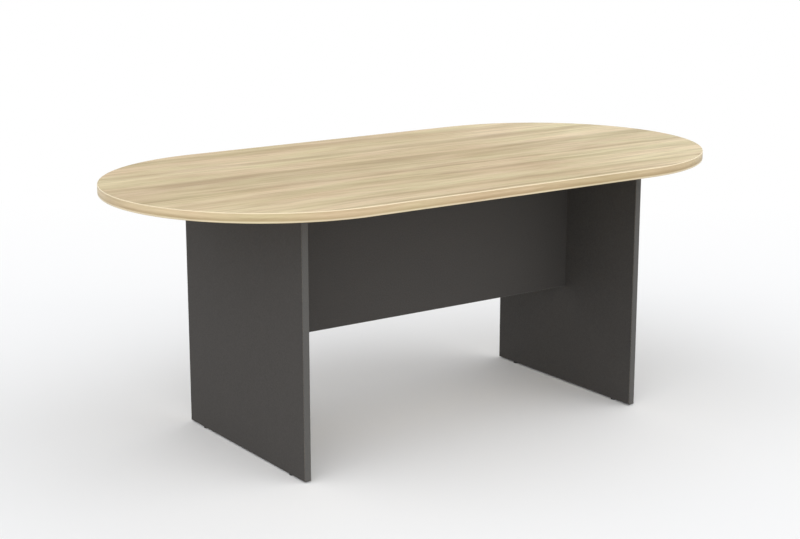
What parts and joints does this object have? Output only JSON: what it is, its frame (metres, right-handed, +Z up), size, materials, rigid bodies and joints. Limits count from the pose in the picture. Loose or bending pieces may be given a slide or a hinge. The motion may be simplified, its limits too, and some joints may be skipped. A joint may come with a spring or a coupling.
{
  "type": "conference table",
  "caption": "Oval conference table: wood-grain board top on dark slab end panels joined by a modesty panel, held by cam fittings and standing on levelling feet.",
  "frame": {"origin": "on the floor under the centre of the top", "axes": "+X along the table's length, +Y to the back, the side that the modesty panel's cams are turned from, +Z up"},
  "size_m": [1.8, 0.9, 0.72],
  "materials": {
    "oak_board": "light oak melamine, satin",
    "oak_edging": "oak-printed ABS, satin",
    "charcoal_board": "charcoal melamine, fine pearl, satin",
    "charcoal_edging": "charcoal ABS, satin",
    "zinc": "zinc die casting, as cast",
    "steel": "zinc-plated steel",
    "beech": "plain beech, unfinished",
    "black_plastic": "moulded nylon, matt"
  },
  "bodies": {
    "table": {"top_board": "oak_board", "top_edging": "oak_edging", "modesty_panel": "charcoal_board", "left_end_panel": "charcoal_board", "right_end_panel": "charcoal_board", "modesty_bottom_edging": "charcoal_edging", "left_front_edging": "charcoal_edging", "left_rear_edging": "charcoal_edging", "left_bottom_edging": "charcoal_edging", "right_front_edging": "charcoal_edging", "right_rear_edging": "charcoal_edging", "right_bottom_edging": "charcoal_edging", "modesty_left_upper_cam_bolt": "steel", "modesty_left_upper_dowel": "beech", "modesty_left_lower_cam_bolt": "steel", "modesty_left_lower_dowel": "beech", "modesty_top_left_cam_bolt": "steel", "left_panel_front_cam_bolt": "steel", "left_panel_front_dowel": "beech", "left_panel_rear_cam_bolt": "steel", "left_panel_rear_dowel": "beech", "modesty_right_upper_cam_bolt": "steel", "modesty_right_upper_dowel": "beech", "modesty_right_lower_cam_bolt": "steel", "modesty_right_lower_dowel": "beech", "modesty_top_right_cam_bolt": "steel", "right_panel_front_cam_bolt": "steel", "right_panel_front_dowel": "beech", "right_panel_rear_cam_bolt": "steel", "right_panel_rear_dowel": "beech", "left_front_foot_insert": "zinc", "left_rear_foot_insert": "zinc", "right_front_foot_insert": "zinc", "right_rear_foot_insert": "zinc"},
    "modesty_left_upper_cam": {"modesty_left_upper_cam": "zinc"},
    "modesty_left_lower_cam": {"modesty_left_lower_cam": "zinc"},
    "modesty_top_left_cam": {"modesty_top_left_cam": "zinc"},
    "left_panel_front_cam": {"left_panel_front_cam": "zinc"},
    "left_panel_rear_cam": {"left_panel_rear_cam": "zinc"},
    "modesty_right_upper_cam": {"modesty_right_upper_cam": "zinc"},
    "modesty_right_lower_cam": {"modesty_right_lower_cam": "zinc"},
    "modesty_top_right_cam": {"modesty_top_right_cam": "zinc"},
    "right_panel_front_cam": {"right_panel_front_cam": "zinc"},
    "right_panel_rear_cam": {"right_panel_rear_cam": "zinc"},
    "left_front_stud": {"left_front_foot_stud": "steel"},
    "left_front_foot": {"left_front_foot": "black_plastic"},
    "left_rear_stud": {"left_rear_foot_stud": "steel"},
    "left_rear_foot": {"left_rear_foot": "black_plastic"},
    "right_front_stud": {"right_front_foot_stud": "steel"},
    "right_front_foot": {"right_front_foot": "black_plastic"},
    "right_rear_stud": {"right_rear_foot_stud": "steel"},
    "right_rear_foot": {"right_rear_foot": "black_plastic"}
  },
  "joints": [
    {"name": "left_front_foot_travel", "type": "slide", "parent": "table", "child": "left_front_stud", "axis": [0, 0, -1], "range_m": [0, 0.01]},
    {"name": "left_front_foot_turn", "type": "hinge", "parent": "left_front_stud", "child": "left_front_foot", "pos_m": [-0.544, -0.225, 0], "axis": [0, 0, -1], "range_deg": [0, 3600]},
    {"name": "left_rear_foot_travel", "type": "slide", "parent": "table", "child": "left_rear_stud", "axis": [0, 0, -1], "range_m": [0, 0.01]},
    {"name": "left_rear_foot_turn", "type": "hinge", "parent": "left_rear_stud", "child": "left_rear_foot", "pos_m": [-0.544, 0.225, 0], "axis": [0, 0, -1], "range_deg": [0, 3600]},
    {"name": "right_front_foot_travel", "type": "slide", "parent": "table", "child": "right_front_stud", "axis": [0, 0, -1], "range_m": [0, 0.01]},
    {"name": "right_front_foot_turn", "type": "hinge", "parent": "right_front_stud", "child": "right_front_foot", "pos_m": [0.544, -0.225, 0], "axis": [0, 0, -1], "range_deg": [0, 3600]},
    {"name": "right_rear_foot_travel", "type": "slide", "parent": "table", "child": "right_rear_stud", "axis": [0, 0, -1], "range_m": [0, 0.01]},
    {"name": "right_rear_foot_turn", "type": "hinge", "parent": "right_rear_stud", "child": "right_rear_foot", "pos_m": [0.544, 0.225, 0], "axis": [0, 0, -1], "range_deg": [0, 3600]},
    {"name": "modesty_left_upper_cam_turn", "type": "hinge", "parent": "table", "child": "modesty_left_upper_cam", "pos_m": [-0.501, 0, 0.631], "axis": [0, 1, 0], "range_deg": [0, 180]},
    {"name": "modesty_left_lower_cam_turn", "type": "hinge", "parent": "table", "child": "modesty_left_lower_cam", "pos_m": [-0.501, 0, 0.359], "axis": [0, 1, 0], "range_deg": [0, 180]},
    {"name": "modesty_top_left_cam_turn", "type": "hinge", "parent": "table", "child": "modesty_top_left_cam", "pos_m": [-0.279, 0, 0.661], "axis": [0, 1, 0], "range_deg": [0, 180]},
    {"name": "left_panel_front_cam_turn", "type": "hinge", "parent": "table", "child": "left_panel_front_cam", "pos_m": [-0.544, -0.204, 0.661], "axis": [1, 0, 0], "range_deg": [0, 180]},
    {"name": "left_panel_rear_cam_turn", "type": "hinge", "parent": "table", "child": "left_panel_rear_cam", "pos_m": [-0.544, 0.204, 0.661], "axis": [1, 0, 0], "range_deg": [0, 180]},
    {"name": "modesty_right_upper_cam_turn", "type": "hinge", "parent": "table", "child": "modesty_right_upper_cam", "pos_m": [0.501, 0, 0.631], "axis": [0, 1, 0], "range_deg": [0, 180]},
    {"name": "modesty_right_lower_cam_turn", "type": "hinge", "parent": "table", "child": "modesty_right_lower_cam", "pos_m": [0.501, 0, 0.359], "axis": [0, 1, 0], "range_deg": [0, 180]},
    {"name": "modesty_top_right_cam_turn", "type": "hinge", "parent": "table", "child": "modesty_top_right_cam", "pos_m": [0.279, 0, 0.661], "axis": [0, 1, 0], "range_deg": [0, 180]},
    {"name": "right_panel_front_cam_turn", "type": "hinge", "parent": "table", "child": "right_panel_front_cam", "pos_m": [0.544, -0.204, 0.661], "axis": [-1, 0, 0], "range_deg": [0, 180]},
    {"name": "right_panel_rear_cam_turn", "type": "hinge", "parent": "table", "child": "right_panel_rear_cam", "pos_m": [0.544, 0.204, 0.661], "axis": [-1, 0, 0], "range_deg": [0, 180]}
  ],
  "couplings": [
    {"joint": "left_front_foot_turn", "follows": "left_front_foot_travel", "rad_per_m": 6283.2},
    {"joint": "left_rear_foot_turn", "follows": "left_rear_foot_travel", "rad_per_m": 6283.2},
    {"joint": "right_front_foot_turn", "follows": "right_front_foot_travel", "rad_per_m": 6283.2},
    {"joint": "right_rear_foot_turn", "follows": "right_rear_foot_travel", "rad_per_m": 6283.2}
  ]
}
